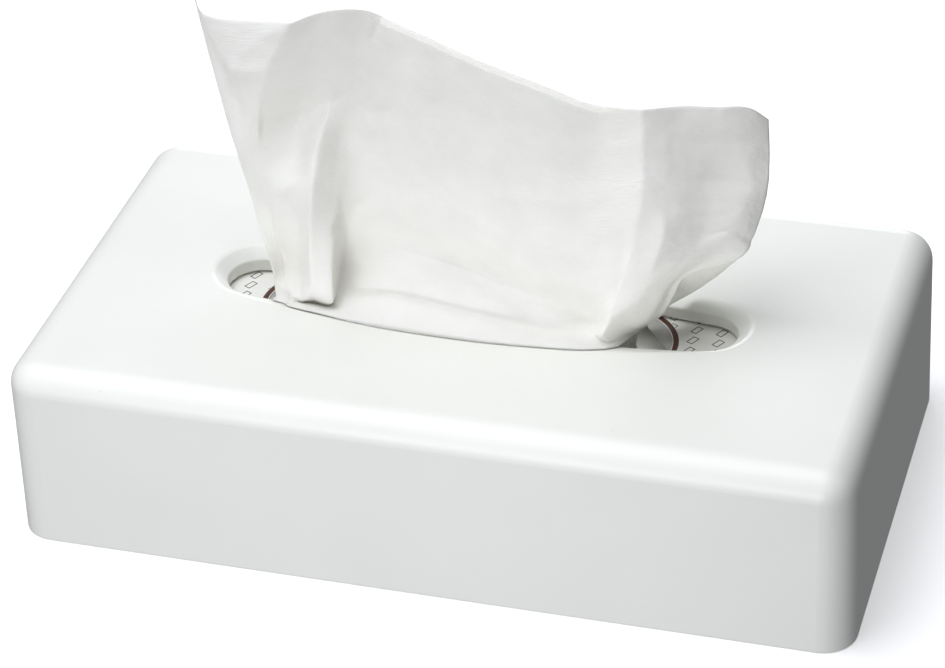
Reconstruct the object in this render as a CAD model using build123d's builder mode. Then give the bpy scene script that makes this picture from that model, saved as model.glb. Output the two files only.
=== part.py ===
"""Tissue box: a moulded cover that stands over an ordinary flat carton of folded tissues.

Millimetres, +Z up.  The origin is the centre of the cover's foot, on the table.
+X runs along the box, +Y across it towards the back.
"""
import os
from math import hypot

from build123d import *

os.makedirs("parts", exist_ok=True)

# ------------------------------------------------------------------ cover, driving dimensions
cover_length = 260.0
cover_width = 142.2
cover_height = 61.4
cover_wall = 2.5
cover_draft = 0.8  # degrees, so that the moulding leaves its tool
corner_radius = 10.5  # upright corners, at the foot
top_edge_radius = 8.5
foot_edge_radius = 0.5

# opening in the cover: a dish, an oval of four tangent arcs, that falls to a slimmer oval bore with
# a turned-down collar
slot_length = 170.0
slot_width = 50.0
slot_end_radius = 14.5
dish_end = 4.2  # width of the dish at the ends of the opening
dish_side = 10.3  # and halfway along its sides
rim_drop = 3.4
bore_end_radius = 10.0
rim_outer_blend = 2.4
rim_inner_blend = 0.7
collar_depth = 7.5
collar_wall = 2.0
collar_edge_blend = 0.6

# ------------------------------------------------------------------ carton, driving dimensions
carton_room_x = 12.5  # between the cover's wall and each end of the carton, at the foot
carton_room_y = 9.6
carton_room_z = 0.6  # between the collar's lower edge and the carton's top
carton_shift_x = -3.0  # the carton stands loose, a little off the middle of the cover
carton_shift_y = -3.5
board = 0.5
fold_radius = 0.8
glue_flap_width = 14.0
dust_flap_depth = 38.0
lower_flap_height = 34.0
upper_flap_height = 30.0

# window in the carton's top: the slot's oval, drawn in
window_inset_x = 21.0
window_inset_y = 5.0
window_end_radius = 17.8

# film glued under the window, with the slit that the tissues are drawn through
film_thickness = 0.1
film_margin = 11.0
slit_inset = 1.5  # from each end of the window
slit_side_room = 7.0  # between the gathered tissue and each lip
slit_lip_run = 9.0

# ------------------------------------------------------------------ tissues, driving dimensions
stack_room_x = 8.5  # between the folded tissues and the carton's flaps
stack_room_y = 6.5
stack_room_z = 9.2  # up to the film: the first tissues have been used
stack_edge_radius = 3.0
fold_spring = 4.0  # what the folds stand out beyond half a sheet
soft_clearance = 0.3

# the tissue that stands in the slot: a fan, gathered where it leaves the film
laid_thickness = 1.5
gather_room_x = 10.5  # from each end of the slit
gather_shift_x = -4.0
gather_shift_y = -3.0
gather_thickness = 9.0
fan_thickness = 16.0
fan_rise_left = 97.0
fan_rise_right = 78.0
fan_overhang_left = 26.0
fan_overhang_right = 45.0
fan_hem_right = 22.0
fan_crest = 58.0  # length of the upper edge that stays high
fan_fall = 58.0  # and of the stretch that falls

near = 0.01  # reach of a selection by height

# ------------------------------------------------------------------ sizes that follow
bore_length = slot_length - 2 * dish_end
bore_width = slot_width - 2 * dish_side
rim_foot = cover_height - rim_drop
carton_length = cover_length - 2 * cover_wall - 2 * carton_room_x
carton_width = cover_width - 2 * cover_wall - 2 * carton_room_y
carton_height = cover_height - collar_depth - carton_room_z
carton_centre = (carton_shift_x, carton_shift_y)
sleeve_reach = carton_length / 2 - 3 * board  # three layers of flaps close each end
flap_width = carton_width - 2 * fold_radius

window_length = slot_length - 2 * window_inset_x
window_width = slot_width - 2 * window_inset_y
film_top = carton_height - board
film_foot = film_top - film_thickness
slit_length = window_length - 2 * slit_inset
slit_mouth = gather_thickness + 2 * slit_side_room

sheet_length = 2 * (sleeve_reach - stack_room_x)
stack_width = carton_width - 2 * board - 2 * stack_room_y
stack_height = film_foot - stack_room_z - board
laid_foot = board + stack_height + soft_clearance
sheet_width = 2 * (stack_width - fold_spring)
gather_width = slit_length - 2 * gather_room_x
gather_centre = (carton_shift_x + gather_shift_x, carton_shift_y + gather_shift_y)
gather_left = gather_centre[0] - gather_width / 2
gather_right = gather_centre[0] + gather_width / 2
fan_foot = cover_height + soft_clearance
fan_left = gather_left - fan_overhang_left
fan_right = gather_right + fan_overhang_right


def oval(length, width, end_radius):
    """Give the face of an oval: two long shallow arcs and two short ones, tangent where they meet."""
    half_length = length / 2
    half_width = width / 2
    end_centre = half_length - end_radius
    rise = half_width - end_radius
    side_centre = (end_centre**2 - rise**2) / (2 * rise)  # below the axis, for the upper side
    side_radius = half_width + side_centre
    reach = hypot(end_centre, side_centre)
    join_x = end_centre * side_radius / reach
    join_y = side_centre * (side_radius / reach - 1)
    with BuildSketch() as outline:
        with BuildLine():
            ThreePointArc((-join_x, join_y), (0, half_width), (join_x, join_y))
            ThreePointArc((join_x, join_y), (half_length, 0), (join_x, -join_y))
            ThreePointArc((join_x, -join_y), (0, -half_width), (-join_x, -join_y))
            ThreePointArc((-join_x, -join_y), (-half_length, 0), (-join_x, join_y))
        make_face()
    return outline.sketch


def slot_oval():
    """Give the outline of the dish in the cover's top."""
    return oval(slot_length, slot_width, slot_end_radius)


def bore_oval(outset):
    """Give the outline of the bore, let out by the same distance all round."""
    return oval(bore_length + 2 * outset, bore_width + 2 * outset, bore_end_radius + outset)


# ------------------------------------------------------------------ cover
with BuildPart() as cover:
    # the drafted block, rounded along its upper edges
    with BuildSketch():
        RectangleRounded(cover_length, cover_width, corner_radius)
    extrude(amount=cover_height, taper=cover_draft)
    fillet(cover.faces().sort_by(Axis.Z)[-1].edges(), top_edge_radius)

    # the same form inside, one wall smaller, open at the foot
    with BuildSketch():
        RectangleRounded(cover_length - 2 * cover_wall, cover_width - 2 * cover_wall,
                         corner_radius - cover_wall)
    core = extrude(amount=cover_height - cover_wall, taper=cover_draft, mode=Mode.PRIVATE)
    core_top_edges = core.faces().sort_by(Axis.Z)[-1].edges()
    add(core.fillet(top_edge_radius - cover_wall, core_top_edges), mode=Mode.SUBTRACT)

    # underside of the dish, one wall below it
    with BuildSketch(Plane.XY.offset(rim_foot - cover_wall)):
        add(bore_oval(collar_wall))
    with BuildSketch(Plane.XY.offset(cover_height - cover_wall)):
        add(slot_oval())
    loft(ruled=True)

    # collar that hangs from the dish
    with BuildSketch(Plane.XY.offset(cover_height - collar_depth)):
        add(bore_oval(collar_wall))
    extrude(amount=collar_depth - rim_drop)

    # way through the collar
    with BuildSketch(Plane.XY.offset(cover_height - collar_depth)):
        add(bore_oval(0))
    extrude(amount=collar_depth, mode=Mode.SUBTRACT)

    # the dish, from the full oval at the top down to the bore
    with BuildSketch(Plane.XY.offset(rim_foot)):
        add(bore_oval(0))
    with BuildSketch(Plane.XY.offset(cover_height)):
        add(slot_oval())
    loft(ruled=True, mode=Mode.SUBTRACT)

    # softened edges: top of the dish, foot of the dish, lower edge of the collar, foot of the wall
    top_face = cover.faces().filter_by(Plane.XY).sort_by(Axis.Z)[-1]
    fillet(top_face.inner_wires()[0].edges(), rim_outer_blend)
    fillet(cover.edges().filter_by_position(Axis.Z, rim_foot - near, rim_foot + near), rim_inner_blend)
    collar_face = cover.faces().filter_by(Plane.XY).group_by(Axis.Z)[1][0]
    fillet(collar_face.inner_wires()[0].edges(), collar_edge_blend)
    foot_face = cover.faces().filter_by(Plane.XY).sort_by(Axis.Z)[0]
    fillet(foot_face.outer_wire().edges(), foot_edge_radius)
cover.part.label = "cover"
export_step(cover.part, "parts/cover.step")

# ------------------------------------------------------------------ carton
with BuildPart() as carton:
    # sleeve of four panels, folded round the tissues
    with BuildSketch(Plane.YZ.offset(carton_shift_x)):
        with Locations((carton_shift_y, carton_height / 2)):
            RectangleRounded(carton_width, carton_height, fold_radius)
            RectangleRounded(carton_width - 2 * board, carton_height - 2 * board, fold_radius - board,
                             mode=Mode.SUBTRACT)
    extrude(amount=sleeve_reach, both=True)

    # glue flap, inside the back panel
    with Locations((carton_shift_x, carton_shift_y + carton_width / 2 - board, carton_height - board)):
        Box(2 * sleeve_reach, board, glue_flap_width, align=(Align.CENTER, Align.MAX, Align.MAX))

    # each end: two dust flaps inside, then the lower flap, then the upper flap outside
    for side, inner_side in ((-1, Align.MAX), (1, Align.MIN)):
        panel_end = carton_shift_x + side * sleeve_reach
        for flank, outer_side in ((-1, Align.MIN), (1, Align.MAX)):
            with Locations((panel_end, carton_shift_y + flank * carton_width / 2, carton_height / 2)):
                Box(board, dust_flap_depth, carton_height - 2 * fold_radius,
                    align=(inner_side, outer_side, Align.CENTER))
        with Locations((panel_end, carton_shift_y, 0)):
            Box(2 * board, flap_width, board, align=(inner_side, Align.CENTER, Align.MIN))
        with Locations((panel_end + side * board, carton_shift_y, 0)):
            Box(board, flap_width, lower_flap_height, align=(inner_side, Align.CENTER, Align.MIN))
        with Locations((panel_end, carton_shift_y, carton_height)):
            Box(3 * board, flap_width, board, align=(inner_side, Align.CENTER, Align.MAX))
        with Locations((panel_end + side * 2 * board, carton_shift_y, carton_height)):
            Box(board, flap_width, upper_flap_height, align=(inner_side, Align.CENTER, Align.MAX))

    # oval window in the top panel
    with BuildSketch(Plane.XY.offset(film_top)):
        with Locations(carton_centre):
            add(oval(window_length, window_width, window_end_radius))
    extrude(amount=board, mode=Mode.SUBTRACT)
carton.part.label = "carton"
export_step(carton.part, "parts/carton.step")

# ------------------------------------------------------------------ film under the window
with BuildPart() as window_film:
    with BuildSketch(Plane.XY.offset(film_foot)):
        with Locations(carton_centre):
            Rectangle(window_length + 2 * film_margin, window_width + 2 * film_margin)
            # the slit, drawn open by the tissue to a long six-sided mouth
            mouth_end = slit_length / 2 - slit_lip_run
            corners = [(slit_length / 2, 0), (mouth_end, slit_mouth / 2), (-mouth_end, slit_mouth / 2),
                       (-slit_length / 2, 0), (-mouth_end, -slit_mouth / 2), (mouth_end, -slit_mouth / 2)]
            Polygon(*corners, align=None, mode=Mode.SUBTRACT)
    extrude(amount=film_thickness)
window_film.part.label = "window_film"
export_step(window_film.part, "parts/window_film.step")

# ------------------------------------------------------------------ folded tissues
with BuildPart() as tissue_stack:
    with Locations((*carton_centre, board)):
        Box(sheet_length, stack_width, stack_height, align=(Align.CENTER, Align.CENTER, Align.MIN))
    fillet(tissue_stack.edges().filter_by(Axis.X), stack_edge_radius)
tissue_stack.part.label = "tissue_stack"
export_step(tissue_stack.part, "parts/tissue_stack.step")

# ------------------------------------------------------------------ tissue standing in the slot
with BuildPart() as raised_tissue:
    # the half that still lies folded on the stack
    with Locations((*carton_centre, laid_foot)):
        Box(sheet_length, sheet_width / 2, laid_thickness, align=(Align.CENTER, Align.CENTER, Align.MIN))

    # the gathered neck, up through the slit and the collar
    with BuildSketch(Plane.XY.offset(laid_foot)):
        with Locations(gather_centre):
            SlotOverall(gather_width, gather_thickness)
    extrude(amount=fan_foot - laid_foot)

    # the fan: upright, wider than its gather, its upper edge falling towards the right
    with BuildSketch(Plane.XZ.offset(-gather_centre[1])):
        with BuildLine():
            Polyline((gather_left, fan_foot), (fan_left, cover_height + fan_rise_left),
                     (fan_left + fan_crest, cover_height + fan_rise_left),
                     (fan_left + fan_crest + fan_fall, cover_height + fan_rise_right),
                     (fan_right, cover_height + fan_rise_right), (fan_right, cover_height + fan_hem_right),
                     (gather_right, fan_foot), close=True)
        make_face()
    extrude(amount=fan_thickness / 2, both=True)
raised_tissue.part.label = "raised_tissue"
export_step(raised_tissue.part, "parts/raised_tissue.step")
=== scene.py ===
"""Tissue box: the finishes of a moulded cover, its carton and film, the folded tissues inside,
and one tissue drawn up through the slot.

Metres, +Z up, with the origin at the centre of the cover's foot.
"""
from math import cos, radians, sin

import bmesh
import bpy
import numpy as np
from bpy.props import FloatProperty, FloatVectorProperty, IntProperty, PointerProperty
from mathutils import Matrix, Vector, noise


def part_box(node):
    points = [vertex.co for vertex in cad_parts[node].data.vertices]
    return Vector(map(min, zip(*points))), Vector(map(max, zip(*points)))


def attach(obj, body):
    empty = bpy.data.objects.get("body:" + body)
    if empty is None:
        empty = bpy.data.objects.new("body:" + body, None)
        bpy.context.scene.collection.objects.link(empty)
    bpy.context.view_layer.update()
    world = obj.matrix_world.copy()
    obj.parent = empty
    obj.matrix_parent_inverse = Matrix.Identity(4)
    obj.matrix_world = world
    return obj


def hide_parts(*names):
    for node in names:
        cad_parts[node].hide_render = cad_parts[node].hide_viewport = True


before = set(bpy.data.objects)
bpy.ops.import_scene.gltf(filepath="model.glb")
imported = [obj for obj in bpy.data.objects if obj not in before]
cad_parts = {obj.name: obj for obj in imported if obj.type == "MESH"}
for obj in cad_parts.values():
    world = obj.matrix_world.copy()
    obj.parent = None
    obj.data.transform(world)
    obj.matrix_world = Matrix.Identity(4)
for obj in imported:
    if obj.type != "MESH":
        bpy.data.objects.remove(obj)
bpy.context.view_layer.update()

bl_info = {
    "name": "Tissue Box",
    "version": (1, 0, 0),
    "blender": (4, 5, 0),
    "location": "3D View > Sidebar > Tissue Box",
    "description": "Finishes a moulded tissue box cover and drapes the tissue that stands in its slot",
    "category": "Object",
}

MM = 0.001


# ------------------------------------------------------------------ values that a user would change
class CoverFinish(bpy.types.PropertyGroup):
    """Finish of the moulded cover."""

    colour: FloatVectorProperty(
        name="Colour",
        description="Colour of the moulded plastic",
        subtype="COLOR",
        size=3,
        min=0,
        max=1,
        default=(0.885, 0.888, 0.82),
    )
    roughness: FloatProperty(
        name="Roughness",
        description="Middle of the polish, which varies a little over the moulding",
        subtype="FACTOR",
        min=0,
        max=1,
        default=0.42,
    )
    ripple: FloatProperty(
        name="Ripple",
        description="Height of the slow waves that moulding leaves in a wall",
        unit="LENGTH",
        min=0,
        default=0.05 * MM,
    )


class CartonPrint(bpy.types.PropertyGroup):
    """Board and print of the carton."""

    board: FloatVectorProperty(
        name="Board",
        description="Colour of the coated board",
        subtype="COLOR",
        size=3,
        min=0,
        max=1,
        default=(0.87, 0.86, 0.8),
    )
    ink: FloatVectorProperty(
        name="Ink",
        description="Colour of the small outlined marks",
        subtype="COLOR",
        size=3,
        min=0,
        max=1,
        default=(0.035, 0.03, 0.025),
    )
    ring: FloatVectorProperty(
        name="Ring",
        description="Colour of the ring printed round the window",
        subtype="COLOR",
        size=3,
        min=0,
        max=1,
        default=(0.085, 0.03, 0.018),
    )
    ring_width: FloatProperty(
        name="Ring width", description="Width of the ring", unit="LENGTH", min=0, default=1.8 * MM
    )
    mark_length: FloatProperty(
        name="Mark length", description="Length of a mark", unit="LENGTH", min=0, default=3.4 * MM
    )
    mark_width: FloatProperty(
        name="Mark width", description="Width of a mark", unit="LENGTH", min=0, default=1.9 * MM
    )
    mark_turn: FloatProperty(
        name="Mark turn",
        description="Turn of the marks from the long side of the carton",
        subtype="ANGLE",
        default=radians(62),
    )
    pitch_x: FloatProperty(
        name="Pitch along", description="From one mark to the next", unit="LENGTH", default=7.85 * MM
    )
    pitch_y: FloatProperty(
        name="Pitch across", description="From one row to the next", unit="LENGTH", default=5.6 * MM
    )


class TissuePaper(bpy.types.PropertyGroup):
    """The paper of the tissues and how the raised one is creased."""

    colour: FloatVectorProperty(
        name="Colour",
        description="Colour of the paper",
        subtype="COLOR",
        size=3,
        min=0,
        max=1,
        default=(0.965, 0.955, 0.905),
    )
    sheet_width: FloatProperty(
        name="Sheet width",
        description="Size that a tissue is cut to, along the box",
        unit="LENGTH",
        default=210 * MM,
    )
    sheet_length: FloatProperty(
        name="Sheet length",
        description="Size that a tissue is cut to, across the box",
        unit="LENGTH",
        default=200 * MM,
    )
    thickness: FloatProperty(
        name="Thickness", description="Thickness of two plies", unit="LENGTH", default=0.18 * MM
    )
    crumple: FloatProperty(
        name="Crumple",
        description="Height of the soft unevenness all over the sheet",
        unit="LENGTH",
        default=0.5 * MM,
    )
    across: IntProperty(
        name="Cells across", description="Mesh cells along the sheet's width", min=40, default=260
    )
    up: IntProperty(
        name="Cells up", description="Mesh cells along the sheet's length", min=40, default=170
    )
    layers: IntProperty(
        name="Layers", description="Folded edges that show on the pack", min=4, default=48
    )


class Studio(bpy.types.PropertyGroup):
    """Floor, lights and camera."""

    aim: FloatVectorProperty(
        name="Aim",
        description="Point that the camera looks at",
        subtype="TRANSLATION",
        size=3,
        default=(3.3 * MM, -18.5 * MM, 60 * MM),
    )
    azimuth: FloatProperty(
        name="Azimuth", description="Turn of the camera to the right", subtype="ANGLE",
        default=radians(17.5),
    )
    elevation: FloatProperty(
        name="Elevation", description="Height of the camera as an angle", subtype="ANGLE",
        default=radians(34.1),
    )
    roll: FloatProperty(
        name="Roll", description="Tilt of the camera", subtype="ANGLE", default=radians(-2.76)
    )
    distance: FloatProperty(
        name="Distance", description="From the camera to its aim", unit="LENGTH", default=1.041
    )
    lens: FloatProperty(name="Lens", description="Focal length in millimetres", default=131.8)


SETTINGS = {
    "tissue_box_cover": CoverFinish,
    "tissue_box_carton": CartonPrint,
    "tissue_box_paper": TissuePaper,
    "tissue_box_studio": Studio,
}


# ------------------------------------------------------------------ materials
class Shader:
    """A material's nodes, made and joined in short calls."""

    def __init__(self, name):
        self.material = bpy.data.materials.new(name)
        self.material.use_nodes = True
        self.tree = self.material.node_tree
        self.tree.nodes.clear()
        self.output = self.tree.nodes.new("ShaderNodeOutputMaterial")

    def node(self, kind, **settings):
        made = self.tree.nodes.new("ShaderNode" + kind)
        for name, value in settings.items():
            setattr(made, name, value)
        return made

    def join(self, value, socket):
        if isinstance(value, bpy.types.NodeSocket):
            self.tree.links.new(value, socket)
        elif value is not None:
            socket.default_value = value

    def maths(self, operation, *values):
        made = self.node("Math", operation=operation)
        for place, value in enumerate(values):
            self.join(value, made.inputs[place])
        return made.outputs[0]

    def place(self, kind="Object"):
        return self.node("TexCoord").outputs[kind]

    def split(self, vector):
        made = self.node("SeparateXYZ")
        self.join(vector, made.inputs[0])
        return made.outputs

    def mapped(self, vector, scale=(1, 1, 1), offset=(0, 0, 0)):
        made = self.node("Mapping")
        self.join(vector, made.inputs["Vector"])
        made.inputs["Scale"].default_value = scale
        made.inputs["Location"].default_value = offset
        return made.outputs[0]

    def noise(self, vector, size, detail=2.0, roughness=0.5):
        made = self.node("TexNoise")
        self.join(vector, made.inputs["Vector"])
        made.inputs["Scale"].default_value = 1 / size
        made.inputs["Detail"].default_value = detail
        made.inputs["Roughness"].default_value = roughness
        return made.outputs["Fac"]

    def specks(self, vector, apart, radius, share):
        """Small round spots, far apart: one in some of the cells of a scatter."""
        made = self.node("TexVoronoi")
        self.join(vector, made.inputs["Vector"])
        made.inputs["Scale"].default_value = 1 / apart
        near = self.maths("LESS_THAN", made.outputs["Distance"], radius / apart)
        chosen = self.maths("LESS_THAN", self.split(made.outputs["Color"])[0], share)
        return self.maths("MULTIPLY", near, chosen)

    def span(self, value, low, high, to_low=0.0, to_high=1.0):
        made = self.node("MapRange")
        for place, item in enumerate((value, low, high, to_low, to_high)):
            self.join(item, made.inputs[place])
        return made.outputs[0]

    def blend(self, factor, first, second):
        made = self.node("Mix", data_type="RGBA")
        self.join(factor, made.inputs[0])
        for place, colour in ((6, first), (7, second)):
            if not isinstance(colour, bpy.types.NodeSocket):
                colour = (*colour[:3], 1)
            self.join(colour, made.inputs[place])
        return made.outputs[2]

    def bump(self, height, distance, strength=1.0, normal=None):
        made = self.node("Bump")
        self.join(height, made.inputs["Height"])
        made.inputs["Distance"].default_value = distance
        made.inputs["Strength"].default_value = strength
        self.join(normal, made.inputs["Normal"])
        return made.outputs[0]

    def principled(self, **sockets):
        made = self.node("BsdfPrincipled")
        for name, value in sockets.items():
            if name == "Base_Color" and not isinstance(value, bpy.types.NodeSocket):
                value = (*value[:3], 1)
            self.join(value, made.inputs[name.replace("_", " ")])
        return made.outputs[0]

    def finish(self, surface):
        self.tree.links.new(surface, self.output.inputs["Surface"])
        return self.material


def dress(obj, material):
    """Give a mesh object one material on all its slots."""
    slots = obj.data.materials
    if slots:
        for place in range(len(slots)):
            slots[place] = material
    else:
        slots.append(material)


def cover_plastic(finish):
    """Polished white moulding: slow ripples, faint swirls in the polish and a few specks of dust."""
    s = Shader("cover_plastic")
    place = s.place()
    cloud = s.noise(place, 60 * MM, detail=3)
    fine = s.noise(place, 0.35 * MM, detail=2)
    smear = s.noise(place, 28 * MM, detail=3, roughness=0.55)
    specks = s.specks(place, 11 * MM, 0.16 * MM, 0.2)
    shade = Vector(finish.colour) * 0.975
    colour = s.blend(s.span(cloud, 0.35, 0.65), shade, finish.colour)
    colour = s.blend(specks, colour, (0.55, 0.56, 0.53))
    rough = s.span(smear, 0.3, 0.7, finish.roughness - 0.03, finish.roughness + 0.04)
    normal = s.bump(cloud, finish.ripple * 4)
    normal = s.bump(fine, 0.01 * MM, 0.6, normal)
    surface = s.principled(
        Base_Color=colour,
        Roughness=rough,
        Normal=normal,
        IOR=1.5,
        Subsurface_Weight=0.08,
        Subsurface_Scale=1.5 * MM,
        Subsurface_Radius=(1.0, 1.0, 0.9),
    )
    return s.finish(surface)


def carton_board(look):
    """Coated board, with small outlined marks in rows and a ring printed round the window."""
    s = Shader("carton_board")
    place = s.place()
    board_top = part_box("carton")[1].z
    film_low, film_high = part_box("window_film")
    window_x = (film_low.x + film_high.x) / 2
    window_y = (film_low.y + film_high.y) / 2
    glued_edge = 11 * MM  # of the film, past the window
    half_length = (film_high.x - film_low.x) / 2 - glued_edge
    half_width = (film_high.y - film_low.y) / 2 - glued_edge
    end_radius = 17.8 * MM

    # distance outside the window's edge, an oval of two long arcs and two short ones
    end_centre = half_length - end_radius
    rise = half_width - end_radius
    side_centre = (end_centre**2 - rise**2) / (2 * rise)
    x, y = s.split(s.mapped(place, offset=(-window_x, -window_y, 0)))[:2]
    x = s.maths("ABSOLUTE", x)
    y = s.maths("ABSOLUTE", y)
    past = s.maths("SUBTRACT", x, end_centre)

    def reach(dx, dy, radius):
        square = s.maths("MULTIPLY_ADD", dx, dx, s.maths("MULTIPLY", dy, dy))
        return s.maths("SUBTRACT", s.maths("SQRT", square), radius)

    to_end = reach(past, y, end_radius)
    to_side = reach(x, s.maths("ADD", y, side_centre), side_centre + half_width)
    at_end = s.maths("GREATER_THAN", s.maths("MULTIPLY", past, side_centre / end_centre), y)
    outside = s.maths("MULTIPLY_ADD", at_end, s.maths("SUBTRACT", to_end, to_side), to_side)
    ring_middle = 0.15 * MM + look.ring_width / 2
    off_ring = s.maths("ABSOLUTE", s.maths("SUBTRACT", outside, ring_middle))
    ring = s.span(off_ring, look.ring_width / 2, look.ring_width / 2 - 0.12 * MM)

    # one mark in each cell of the grid, as the outline of a turned rectangle
    px, py, pz = s.split(place)

    def from_cell_centre(coordinate, start, pitch):
        cells = s.maths("DIVIDE", s.maths("ADD", coordinate, start), pitch)
        part = s.maths("FRACT", s.maths("ADD", cells, 100))  # 100 cells on, to stay positive
        return s.maths("MULTIPLY", s.maths("SUBTRACT", part, 0.5), pitch)

    cx = from_cell_centre(px, 0.3 * MM, look.pitch_x)
    cy = from_cell_centre(py, 0.6 * MM, look.pitch_y)
    c, t = cos(look.mark_turn), sin(look.mark_turn)
    along = s.maths("ABSOLUTE", s.maths("MULTIPLY_ADD", cx, c, s.maths("MULTIPLY", cy, t)))
    over = s.maths("ABSOLUTE", s.maths("MULTIPLY_ADD", cx, -t, s.maths("MULTIPLY", cy, c)))
    inside = s.maths(
        "MAXIMUM",
        s.maths("SUBTRACT", along, look.mark_length / 2),
        s.maths("SUBTRACT", over, look.mark_width / 2),
    )
    line = s.span(s.maths("ABSOLUTE", inside), 0.2 * MM, 0.12 * MM)
    clear_of_ring = s.maths("GREATER_THAN", outside, look.ring_width + 0.3 * MM)
    on_top = s.maths("GREATER_THAN", pz, board_top - 0.1 * MM)
    line = s.maths("MULTIPLY", s.maths("MULTIPLY", line, clear_of_ring), on_top)
    ring = s.maths("MULTIPLY", ring, on_top)

    fibre = s.noise(s.mapped(place, scale=(1, 3, 3)), 1.2 * MM, detail=5, roughness=0.65)
    board = s.blend(s.span(fibre, 0.3, 0.7), Vector(look.board) * 0.96, look.board)
    colour = s.blend(line, board, look.ink)
    colour = s.blend(ring, colour, look.ring)
    surface = s.principled(
        Base_Color=colour,
        Roughness=s.span(fibre, 0.3, 0.7, 0.38, 0.5),
        Normal=s.bump(fibre, 0.03 * MM),
        IOR=1.48,
    )
    return s.finish(surface)


def window_plastic():
    """Thin cloudy film, slightly drawn and wrinkled."""
    s = Shader("film")
    place = s.place()
    drawn = s.noise(s.mapped(place, scale=(0.3, 1, 1)), 7 * MM, detail=3)
    haze = s.noise(place, 14 * MM, detail=2)
    surface = s.principled(
        Base_Color=(0.74, 0.735, 0.69),
        Roughness=s.span(haze, 0.3, 0.7, 0.16, 0.3),
        Alpha=s.span(haze, 0.3, 0.7, 0.36, 0.5),
        Normal=s.bump(drawn, 0.4 * MM),
        IOR=1.49,
    )
    return s.finish(surface)


def tissue_paper(paper, name="tissue_paper", sheet=True):
    """Soft creped paper: light comes through it, and its upper hem is thinner."""
    s = Shader(name)
    place = s.place("UV") if sheet else s.place()
    crepe = s.noise(s.mapped(place, scale=(1, 4.5, 1)), 3.4 * MM, detail=4, roughness=0.6)
    cloud = s.noise(place, 11 * MM, detail=4, roughness=0.55)
    fuzz = s.noise(place, 0.5 * MM, detail=2)
    thin = Vector(paper.colour) * 0.965
    colour = s.blend(s.span(cloud, 0.35, 0.65), thin, paper.colour)
    colour = s.blend(s.span(crepe, 0.55, 0.75, 0, 0.5), colour, thin)
    normal = s.bump(cloud, 0.5 * MM)
    normal = s.bump(crepe, 0.2 * MM, 0.8, normal)
    normal = s.bump(fuzz, 0.03 * MM, 0.8, normal)
    solid = 1.0
    if sheet:
        # a lighter hem along the cut edge, between the flap and the panel
        across, up = s.split(place)[:2]
        hem_width = 2.7 * MM
        hem = s.maths("GREATER_THAN", up, paper.sheet_length - hem_width)
        hem = s.maths("MULTIPLY", hem, s.span(across, 62 * MM, 68 * MM))
        hem = s.maths("MULTIPLY", hem, s.span(across, 149 * MM, 143 * MM))
        solid = s.span(hem, 0, 1, 1, 0.55)
    face = s.principled(
        Base_Color=colour,
        Alpha=solid,
        Roughness=0.92,
        Normal=normal,
        IOR=1.35,
        Specular_IOR_Level=0.15,
        Sheen_Weight=0.08,
        Sheen_Roughness=0.5,
    )
    if not sheet:
        return s.finish(face)
    through = s.node("BsdfTranslucent")
    through.inputs["Color"].default_value = (0.95, 0.94, 0.82, 1)
    s.join(normal, through.inputs["Normal"])
    mix = s.node("MixShader")
    mix.inputs[0].default_value = 0.13
    s.join(face, mix.inputs[1])
    s.join(through.outputs[0], mix.inputs[2])
    return s.finish(mix.outputs[0])


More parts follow.
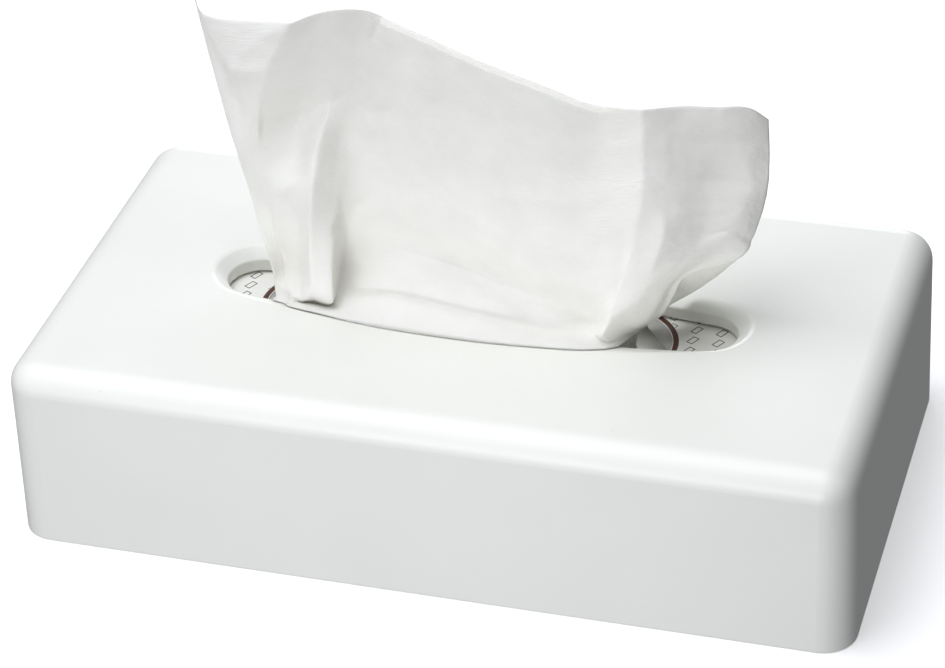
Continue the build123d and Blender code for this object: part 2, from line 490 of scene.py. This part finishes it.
# ------------------------------------------------------------------ the tissue that stands in the slot
# Each fold line runs up the sheet.  It has its place across the sheet, then how sharply the paper is
# creased along it at the slot, halfway and at the cut edge, then how sharply it turns at its hem and
# at its ridge, and its points, all in millimetres: under the rim, on the rim, tucked behind the hem,
# at the hem and on the ledge, then on the ridge and up the panel to the cut edge.
FOLD_LINES = (
    (0, (0, 0, 0), (0.2, 0), (
        (-61, -8, 58), (-62, -14, 60), (-62, -10, 59), (-63, -8, 60), (-64, -6, 65),
        (-67, -4, 74), (-70, -3, 89), (-74, -3, 107), (-80, 3, 123), (-89, 11, 153),
    )),
    (12, (0, 0, 0.1), (0.3, 0), (
        (-58, -9, 58), (-58, -15, 60), (-59, -12, 59), (-60, -9, 60), (-63, -2, 64),
        (-64, -3, 74), (-66, -4, 90), (-70, -5, 108), (-74, 0, 124), (-84, 7, 146),
    )),
    (30, (0, 0.4, 0.9), (0.5, 0.2), (
        (-55, -10, 58), (-55, -18.5, 61.5), (-55, -14, 60), (-56, -12, 61), (-61, 0, 64),
        (-61, -4, 76), (-61, -6, 93), (-65, -4, 108), (-63, -6, 128), (-51, -8, 155),
    )),
    (41, (0.2, 0.1, 0), (1, 0), (
        (-51, -10, 58), (-51, -19.5, 61.6), (-53, -12, 59), (-52, -15, 62), (-56, -2, 65),
        (-54, -7, 80), (-53, -9, 97), (-55, 0, 108), (-51, -2, 128), (-44, -5, 157),
    )),
    (52, (0.9, 0.9, 0), (1, 0), (
        (-46, -11, 58), (-46, -20.2, 61.6), (-49, -11, 59), (-48, -16, 65), (-49, -13, 74),
        (-48, -13, 87), (-47, -12, 100), (-46, -6, 113), (-42, -1, 129), (-37, -3, 158),
    )),
    (61, (1, 0.1, 0), (1, 0), (
        (-41, -11, 58), (-41, -21.2, 61.6), (-45, -12, 59), (-41, -17, 64), (-42, -12, 74),
        (-42, -9, 85), (-42, -6, 98), (-40, 0, 112), (-35, 1, 129), (-30, 0, 157),
    )),
    (70, (0.3, 0, 0), (0.4, 0.3), (
        (-37, -12, 58), (-37, -22, 61.6), (-41, -12, 61), (-43, -6, 61), (-43, 0, 67),
        (-41, -1, 78), (-37, -2, 93), (-33, 1, 108), (-28, 2, 125), (-24, 1, 154),
    )),
    (84, (0, 0, 0), (0.8, 0.9), (
        (-25, -12, 58), (-25, -23.5, 61.6), (-25, -15, 67), (-25, -12, 66), (-25, -6, 71),
        (-23, -1, 76), (-22, -1, 90), (-20, 1, 106), (-17, 1, 123), (-14, 0, 151),
    )),
    (104, (0, 0, 0), (0.8, 0.9), (
        (2, -12, 58), (3, -24.5, 61.6), (4, -17, 65), (4, -14, 64), (3, -8, 68),
        (1, -2, 71), (1, -3, 85), (1, -1, 100), (1, -1, 117), (2, -2, 146),
    )),
    (124, (0, 0, 0), (0.8, 0.9), (
        (22, -12, 58), (23, -23.5, 61.6), (23, -18, 63), (23, -14, 62), (22, -9, 64),
        (21, -7, 68), (22, -7, 82), (21, -5, 96), (21, -4, 113), (23, -3, 140),
    )),
    (142, (0.1, 0, 0), (0.8, 0.6), (
        (36, -11, 58), (37, -22, 61.6), (38, -17, 62), (37, -13, 62), (39, -9, 63),
        (40, -10, 69), (41, -10, 81), (40, -8, 95), (39, -5, 109), (40, -3, 135),
    )),
    (154, (0.9, 0.5, 0.9), (1, 0.1), (
        (43, -12, 58), (44, -19, 60.8), (45, -15, 61), (43, -17, 64), (45, -16, 69),
        (46, -14, 74), (50, -13, 86), (53, -11, 101), (54, -8, 114), (53, -4, 136),
    )),
    (165, (0.2, 0.1, 0.1), (1, 0), (
        (46, -11, 58), (47, -15, 59.5), (48, -10, 60), (48, -12, 65), (51, -13, 71),
        (54, -13, 77), (59, -12, 89), (63, -9, 99), (63, -5, 112), (63, 2, 135),
    )),
    (175, (0.4, 0, 0), (1, 0), (
        (48, -4, 56), (49, -8, 58), (51, -3, 58), (53, -7, 63), (57, -9, 71),
        (60, -9, 78), (67, -8, 88), (71, -4, 97), (72, 0, 110), (72, 5, 134),
    )),
    (187, (0.2, 0, 0), (1, 0), (
        (49, 1, 55), (50, -1, 57), (54, 3, 58), (56, -2, 62), (60, -5, 72),
        (63, -5, 79), (74, -4, 88), (81, 0, 97), (83, 4, 108), (82, 10, 132),
    )),
    (195, (1, 1, 1), (0.5, 0.3), (
        (50, 3, 55), (51, 2, 57), (54, 5, 58), (57, 0, 62), (62, -4, 73),
        (65, -4, 80), (81, -2, 87), (85, 3, 93), (88, 7, 107), (87, 13, 127),
    )),
    (210, (0, 0, 0), (0, 0), (
        (51, 6, 55), (51, 5, 56), (54, 8, 58), (56, 7, 60), (59, 10, 61),
        (64, 14, 63), (76, 10, 77), (79, 12, 85), (82, 15, 97), (80, 21, 116),
    )),
)
# how far up the sheet each point of a fold line lies, after the part that is still in the carton,
# and how sharply the whole sheet turns there
RIM_UP = (85, 93, 99, 103, 111, 120, 134, 151, 169, 200)
TURNS = (0, 0.9, 0.6, 0, 0.1, 0, 0.2, 0.1, 0, 0)

# creases that cross the fold lines: ends in millimetres across and up the sheet, how far the paper
# stands out along them (in, where negative), and how wide the fold is to each side
CREASES = (
    ((30, 201), (2, 149), 1.2, 14),
    ((3, 149), (57, 166), -2.2, 12),
    ((62, 163), (74, 166), -0.8, 4),
    ((64, 190), (67, 200), -0.8, 3),
    ((61, 120), (73, 133), -1.0, 4),
    ((63, 146), (70, 148), -0.7, 4),
    ((71, 158), (79, 157), -0.5, 4),
    ((78, 186), (90, 178), 0.8, 10),
    ((96, 172), (112, 160), 0.7, 10),
    ((24, 132), (44, 139), 0.8, 5),
    ((20, 140), (38, 128), -0.6, 5),
    ((78, 96), (100, 97), -0.5, 3),
    ((108, 113), (128, 115), -0.4, 3),
    ((170, 172), (190, 171), -0.5, 4),
    ((176, 150), (206, 146), -0.6, 5),
    ((166, 158), (180, 160), 0.4, 4),
    ((172, 187), (194, 186), -0.4, 4),
    ((162, 154), (164, 132), 0.9, 6),
    ((150, 146), (153, 122), -0.9, 6),
    ((110, 152), (138, 162), 0.6, 12),
    ((84, 150), (104, 142), -0.5, 8),
    ((84, 176), (116, 181), -0.5, 10),
)

# unevenness of the paper: size in millimetres, seed, share that is crisp, and share of the crumple
UNEVENNESS = (
    (17, 3.1, 0.0, 0.8),
    (26, 8.2, 1.0, 0.9),
    (11, 1.4, 0.8, 0.45),
    (2.6, 5.7, 0.0, 0.12),
)


def slopes(points, places, sharp):
    """Slopes before and after each point of a run: equal where smooth, apart where creased."""
    step = np.diff(points, axis=0) / np.diff(places)[:, None, None]
    before = np.concatenate((step[:1], step))
    after = np.concatenate((step, step[-1:]))
    gap = np.diff(places)
    gap_before = np.concatenate((gap[:1], gap))[:, None, None]
    gap_after = np.concatenate((gap, gap[-1:]))[:, None, None]
    even = (before * gap_after + after * gap_before) / (gap_before + gap_after)
    return even + (before - even) * sharp, even + (after - even) * sharp


def run_through(points, places, wanted, sharp):
    """Cubic curve through points (first axis) at places, read at the wanted places."""
    before, after = slopes(points, places, sharp)
    cell = np.clip(np.searchsorted(places, wanted, side="right") - 1, 0, len(places) - 2)
    gap = (places[cell + 1] - places[cell])[:, None, None]
    t = ((wanted - places[cell]) / gap[:, 0, 0])[:, None, None]
    return (
        points[cell] * (2 * t**3 - 3 * t**2 + 1)
        + after[cell] * gap * (t**3 - 2 * t**2 + t)
        + points[cell + 1] * (3 * t**2 - 2 * t**3)
        + before[cell + 1] * gap * (t**3 - t**2)
    )


def hidden_points(place, lip, paper):
    """Points of a fold line from the end that lies in the carton up to the film's slit."""
    stack_low, stack_high = (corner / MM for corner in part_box("tissue_stack"))
    film_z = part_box("window_film")[1].z / MM
    back = stack_high.y - 3.5
    laid_x = place - paper.sheet_width / MM / 2 + (stack_low.x + stack_high.x) / 2
    gather_y = -6.5
    neck_y = gather_y + (lip[1] - gather_y) * 0.6

    def drawn(share):
        return laid_x + (lip[0] * 0.97 - laid_x) * share

    return (
        (0, (drawn(0.0), back - 28, stack_high.z + 0.7)),
        (27, (drawn(0.0), back - 2, stack_high.z + 0.6)),
        (30, (drawn(0.02), back, stack_high.z + 1.0)),
        (33, (drawn(0.04), back - 2, stack_high.z + 1.4)),
        (58, (drawn(0.4), back - 28, stack_high.z + 1.3)),
        (69, (drawn(0.85), neck_y + 4, stack_high.z + 2.0)),
        (75, (drawn(1.0), neck_y, stack_high.z + 5.0)),
        (80, (drawn(1.0), neck_y * 0.7 + lip[1] * 0.3, film_z + 0.4)),
    )


def sheet_points(paper, across, up):
    """Places in millimetres of a grid over the sheet, across by up, before it is crumpled."""
    places = np.array([line[0] for line in FOLD_LINES], float)
    hidden = [hidden_points(line[0], line[3][0], paper) for line in FOLD_LINES]
    rows = np.array([item[0] for item in hidden[0]] + list(RIM_UP), float)
    net = np.array(
        [[item[1] for item in low] + list(line[3]) for low, line in zip(hidden, FOLD_LINES)]
    )
    rim_row = len(hidden[0])
    hem_row, ridge_row = rim_row + 3, rim_row + 5
    turn = np.zeros((len(rows), len(places), 1))
    turn[rim_row:, :, 0] = np.array(TURNS)[:, None]
    turn[hem_row, :, 0] = [line[2][0] for line in FOLD_LINES]
    turn[ridge_row, :, 0] = [line[2][1] for line in FOLD_LINES]
    lines = run_through(net.transpose(1, 0, 2), rows, up, turn)  # up, line, xyz
    halfway = (RIM_UP[0], RIM_UP[6], RIM_UP[-1])
    crease = np.array([np.interp(up, halfway, line[1]) for line in FOLD_LINES])
    return run_through(lines.transpose(1, 0, 2), places, across, crease[:, :, None])


def normals_of(points):
    """Unit normals of a grid of points."""
    along = np.gradient(points, axis=0)
    over = np.gradient(points, axis=1)
    out = np.cross(along, over)
    return out / np.maximum(np.linalg.norm(out, axis=2, keepdims=True), 1e-9)


def crumple(across, up):
    """Unevenness of the paper over the grid: soft swells and crisp ridges."""
    height = np.zeros((len(across), len(up)))
    for size, seed, crisp, share in UNEVENNESS:
        rows = [[noise.noise((a / size, b / size, seed)) for b in up] for a in across]
        soft = np.array(rows)
        height += share * (soft * (1 - crisp) + (0.5 - np.abs(soft) * 2) * crisp)
    return height


def creased(across, up):
    """How far each grid point stands out for the creases that cross the sheet."""
    height = np.zeros((len(across), len(up)))
    place = np.stack(np.meshgrid(across, up, indexing="ij"), axis=2)
    for start, end, rise, reach in CREASES:
        start, end = np.array(start, float), np.array(end, float)
        length = np.linalg.norm(end - start)
        along = (place - start) @ (end - start) / length
        off = np.linalg.norm(place - start - along[:, :, None] * (end - start) / length, axis=2)
        fade = np.clip(np.minimum(along, length - along) / (0.35 * length) + 0.6, 0, 1)
        height += rise * np.clip(1 - off / reach, 0, 1) ** 2 * fade**2 * (3 - 2 * fade)
    return height


def sheet_mesh(paper):
    """The raised sheet as a grid with its own flat layout, shaped by its fold lines and crumpled."""
    width = paper.sheet_width / MM
    length = paper.sheet_length / MM
    across = np.linspace(0, width, paper.across + 1)
    up = np.linspace(0, length, paper.up + 1)
    points = sheet_points(paper, across, up)
    out = normals_of(points)
    out *= -np.sign(out[len(across) // 2, -1, 1])  # towards the front

    # the paper has no room to crumple in the slot, nor where its folds lie close together
    slot_z = 61
    free = np.clip((points[:, :, 2] - slot_z) / 10, 0, 1)
    spread = np.linalg.norm(np.gradient(points, axis=0), axis=2) / (across[1] - across[0])
    taut = np.clip(spread * 1.4 - 0.4, 0, 1)
    lift = free * taut * crumple(across, up) * paper.crumple / MM + taut * creased(across, up)
    points = points + out * lift[:, :, None]

    made = bmesh.new()
    layout = made.loops.layers.uv.new("layout")
    bmesh.ops.create_grid(
        made, x_segments=paper.across, y_segments=paper.up, size=0.5, calc_uvs=False
    )
    for face in made.faces:
        for loop in face.loops:
            place = loop.vert.co
            loop[layout].uv = ((place.x + 0.5) * width * MM, (place.y + 0.5) * length * MM)
    for vert in made.verts:
        column = round((vert.co.x + 0.5) * paper.across)
        row = round((vert.co.y + 0.5) * paper.up)
        vert.co = Vector(points[column, row]) * MM
    bmesh.ops.recalc_face_normals(made, faces=made.faces)
    return made


def into_object(made, name, material):
    """Finish a bmesh as an object that rides with the box."""
    mesh = bpy.data.meshes.new(name)
    made.to_mesh(mesh)
    made.free()
    mesh.shade_smooth()
    obj = bpy.data.objects.new(name, mesh)
    bpy.context.scene.collection.objects.link(obj)
    dress(obj, material)
    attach(obj, "root")
    return obj


# ------------------------------------------------------------------ one operator for each piece
class TISSUEBOX_OT_cover(bpy.types.Operator):
    """Finish the moulded cover."""

    bl_idname = "tissue_box.cover"
    bl_label = "Cover"

    def execute(self, context):
        dress(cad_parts["cover"], cover_plastic(context.scene.tissue_box_cover))
        return {"FINISHED"}


class TISSUEBOX_OT_carton(bpy.types.Operator):
    """Print the carton."""

    bl_idname = "tissue_box.carton"
    bl_label = "Carton"

    def execute(self, context):
        dress(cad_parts["carton"], carton_board(context.scene.tissue_box_carton))
        return {"FINISHED"}


class TISSUEBOX_OT_film(bpy.types.Operator):
    """Finish the film under the carton's window."""

    bl_idname = "tissue_box.film"
    bl_label = "Window film"

    def execute(self, context):
        dress(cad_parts["window_film"], window_plastic())
        return {"FINISHED"}


class TISSUEBOX_OT_pack(bpy.types.Operator):
    """Stack the folded tissues that are still in the carton."""

    bl_idname = "tissue_box.pack"
    bl_label = "Folded tissues"

    def execute(self, context):
        paper = context.scene.tissue_box_paper
        low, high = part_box("tissue_stack")
        centre = (low + high) / 2
        bulge_room = Vector((1, 1, 0)) * MM
        half = (high - low) / 2 - bulge_room
        made = bmesh.new()
        bmesh.ops.create_grid(made, x_segments=1, y_segments=1, size=1)
        foot = Matrix.Translation((centre.x, centre.y, low.z)) @ Matrix.Diagonal(
            (half.x, half.y, 1, 1)
        )
        bmesh.ops.transform(made, matrix=foot, verts=made.verts)
        bmesh.ops.bevel(
            made, geom=made.verts[:], offset=3 * MM, segments=5, profile=0.5,
            affect="VERTICES", material=-1,
        )
        bmesh.ops.reverse_faces(made, faces=made.faces)
        face = made.faces[:][0]
        each = (high.z - low.z) / paper.layers
        # height and bulge of a folded edge, as shares of its layer and of its full bulge
        steps = ((0.12, 0.5), (0.3, 0.85), (0.58, 1.0), (0.8, 0.8), (1.0, 0.0))
        full_bulge = 0.45 * MM
        level, wide, deep = 0.0, 1.0, 1.0
        for layer in range(paper.layers):
            sag = 0.5 * MM * noise.noise((layer * 0.31, 2.3, 0.7))
            for height, reach in steps:
                lifted = bmesh.ops.extrude_face_region(made, geom=[face])
                if level:  # the first face stays, as the foot
                    bmesh.ops.delete(made, geom=[face], context="FACES_ONLY")
                face = next(f for f in lifted["geom"] if isinstance(f, bmesh.types.BMFace))
                rise = (layer + height - level) * each
                bmesh.ops.translate(made, vec=(0, 0, rise), verts=face.verts[:])
                grow = full_bulge * reach + sag
                wider, deeper = 1 + grow / half.x, 1 + grow / half.y
                bmesh.ops.scale(
                    made,
                    vec=(wider / wide, deeper / deep, 1),
                    space=Matrix.Translation(-centre),
                    verts=face.verts[:],
                )
                level, wide, deep = layer + height, wider, deeper
        bmesh.ops.recalc_face_normals(made, faces=made.faces)
        obj = into_object(
            made, "folded_tissues", tissue_paper(paper, "pack_paper", sheet=False)
        )
        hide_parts("tissue_stack")
        return {"FINISHED"}


class TISSUEBOX_OT_raised(bpy.types.Operator):
    """Drape the tissue that stands in the slot."""

    bl_idname = "tissue_box.raised"
    bl_label = "Raised tissue"

    def execute(self, context):
        paper = context.scene.tissue_box_paper
        made = sheet_mesh(paper)
        obj = into_object(made, "raised_sheet", tissue_paper(paper))
        plies = obj.modifiers.new("plies", "SOLIDIFY")
        plies.thickness = paper.thickness
        plies.offset = 0
        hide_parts("raised_tissue")
        return {"FINISHED"}


def area_light(name, place, aim, size, power):
    """A soft rectangular light that faces a point."""
    lamp = bpy.data.lights.new(name, "AREA")
    lamp.shape = "RECTANGLE"
    lamp.size, lamp.size_y = size
    lamp.energy = power
    lamp.color = (0.965, 0.985, 1.05)
    obj = bpy.data.objects.new(name, lamp)
    obj.location = place
    obj.rotation_euler = (Vector(aim) - Vector(place)).to_track_quat("-Z", "Y").to_euler()
    bpy.context.scene.collection.objects.link(obj)


class TISSUEBOX_OT_stage(bpy.types.Operator):
    """Set the floor, the lights and the camera."""

    bl_idname = "tissue_box.stage"
    bl_label = "Stage"

    def execute(self, context):
        studio = context.scene.tissue_box_studio
        made = bmesh.new()
        bmesh.ops.create_grid(made, x_segments=8, y_segments=8, size=4)
        mesh = bpy.data.meshes.new("floor")
        made.to_mesh(mesh)
        made.free()
        floor = bpy.data.objects.new("floor", mesh)
        context.scene.collection.objects.link(floor)
        s = Shader("floor")
        grain = s.noise(s.place(), 30 * MM, detail=2)
        colour = s.blend(grain, (0.9, 0.9, 0.9), (0.92, 0.92, 0.92))
        surface = s.principled(
            Base_Color=colour, Roughness=0.8, Emission_Color=(1, 1, 1, 1), Emission_Strength=0.4
        )
        dress(floor, s.finish(surface))
        floor.visible_diffuse = False
        floor.visible_glossy = False

        world = bpy.data.worlds.new("studio")
        context.scene.world = world
        world.use_nodes = True
        sky = world.node_tree.nodes["Background"]
        sky.inputs["Color"].default_value = (0.94, 0.97, 1.03, 1)
        sky.inputs["Strength"].default_value = 0.2
        aim = Vector(studio.aim)
        area_light("top", (-0.25, -0.15, 1.0), aim, (0.9, 0.8), 8.5)
        area_light("over", (0.02, 0.45, 0.85), aim, (0.5, 0.4), 0.9)
        area_light("front", (-0.08, -0.7, 0.07), aim, (0.34, 0.12), 1.9)
        area_light("bounce", (0, -0.26, 0.012), (0, 0, 0.012), (0.3, 0.02), 0.06)
        area_light("back", (-0.15, 0.8, 0.2), aim, (0.5, 0.3), 2.2)

        back = Vector(
            (
                sin(studio.azimuth) * cos(studio.elevation),
                -cos(studio.azimuth) * cos(studio.elevation),
                sin(studio.elevation),
            )
        )
        right = Vector((0, 0, 1)).cross(back).normalized()
        up = back.cross(right)
        turned = Matrix((right, up, back)).transposed() @ Matrix.Rotation(studio.roll, 3, "Z")
        camera = bpy.data.objects.new("camera", bpy.data.cameras.new("camera"))
        camera.matrix_world = Matrix.Translation(aim + back * studio.distance) @ turned.to_4x4()
        camera.data.sensor_width = 36
        camera.data.lens = studio.lens
        camera.data.clip_end = 20
        context.scene.collection.objects.link(camera)
        context.scene.camera = camera
        context.scene.view_settings.view_transform = "Standard"
        return {"FINISHED"}


class VIEW3D_PT_tissue_box(bpy.types.Panel):
    """Lists the pieces of the tissue box."""

    bl_label = "Tissue Box"
    bl_space_type = "VIEW_3D"
    bl_region_type = "UI"
    bl_category = "Tissue Box"

    def draw(self, context):
        for piece in OPERATORS:
            self.layout.operator(piece.bl_idname)


OPERATORS = (
    TISSUEBOX_OT_cover,
    TISSUEBOX_OT_carton,
    TISSUEBOX_OT_film,
    TISSUEBOX_OT_pack,
    TISSUEBOX_OT_raised,
    TISSUEBOX_OT_stage,
)
CLASSES = (*SETTINGS.values(), *OPERATORS, VIEW3D_PT_tissue_box)


def register():
    for item in CLASSES:
        bpy.utils.register_class(item)
    for name, settings in SETTINGS.items():
        setattr(bpy.types.Scene, name, PointerProperty(type=settings))


def unregister():
    for name in SETTINGS:
        delattr(bpy.types.Scene, name)
    for item in reversed(CLASSES):
        bpy.utils.unregister_class(item)


def main():
    register()
    bpy.ops.tissue_box.cover()
    bpy.ops.tissue_box.carton()
    bpy.ops.tissue_box.film()
    bpy.ops.tissue_box.pack()
    bpy.ops.tissue_box.raised()
    bpy.ops.tissue_box.stage()


if __name__ == "__main__":
    main()
